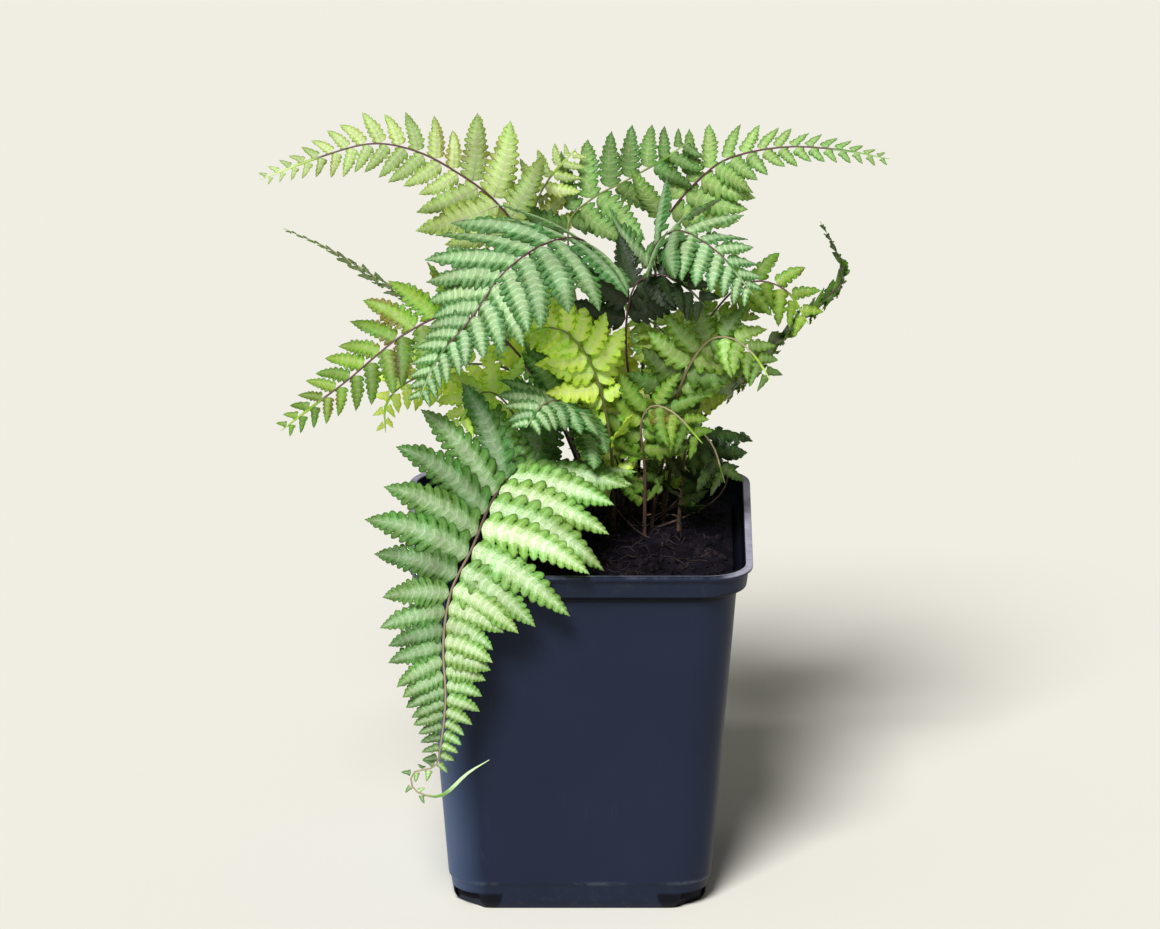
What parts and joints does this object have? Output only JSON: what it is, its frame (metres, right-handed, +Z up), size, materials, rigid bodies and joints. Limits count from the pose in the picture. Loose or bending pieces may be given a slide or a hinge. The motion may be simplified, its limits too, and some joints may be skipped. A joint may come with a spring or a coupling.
{
  "type": "potted fern",
  "caption": "Young painted fern with arching, lobed fronds, growing in potting soil in a small square tapered nursery pot.",
  "frame": {"origin": "middle of the pot's underside, on the surface it stands on", "axes": "+Z up, +X to the right and -Y to the front as the plant is usually seen"},
  "size_m": [0.1651, 0.1473, 0.2045],
  "materials": {
    "pot_plastic": "dark blue-grey moulded plastic with a dull sheen",
    "potting_soil": "dark crumbly peat compost",
    "rhizome_bark": "brown scaly rhizome and dry stalk ends",
    "green_frond": "soft green leaflets on purple-brown stalks",
    "silver_frond": "silvery grey-green leaflets on purple-brown stalks",
    "lime_frond": "fresh yellow-green leaflets on reddish stalks"
  },
  "bodies": {
    "root": {"pot": "pot_plastic", "soil": "potting_soil", "crown": "rhizome_bark", "frond_front_fall": "green_frond", "frond_silver_centre": "silver_frond", "frond_arch_left": "green_frond", "frond_arch_right": "green_frond", "frond_left_reach": "green_frond", "frond_silver_front": "silver_frond", "frond_silver_right": "silver_frond", "frond_upswept": "green_frond", "frond_mid_right": "green_frond", "frond_top_mid": "green_frond", "frond_top_pale": "green_frond", "frond_left_twig": "green_frond", "frond_lime_left": "lime_frond", "frond_mid_low": "green_frond", "frond_dark_right": "green_frond", "frond_low_right": "green_frond", "frond_low_mid": "green_frond", "frond_lime_front": "lime_frond", "frond_lime_mid": "lime_frond", "frond_lime_centre": "lime_frond", "frond_lime_right": "lime_frond", "frond_lime_high": "lime_frond", "frond_back_left": "green_frond", "frond_back_right": "green_frond", "frond_back_fall": "green_frond", "frond_young_low": "green_frond"}
  },
  "joints": []
}
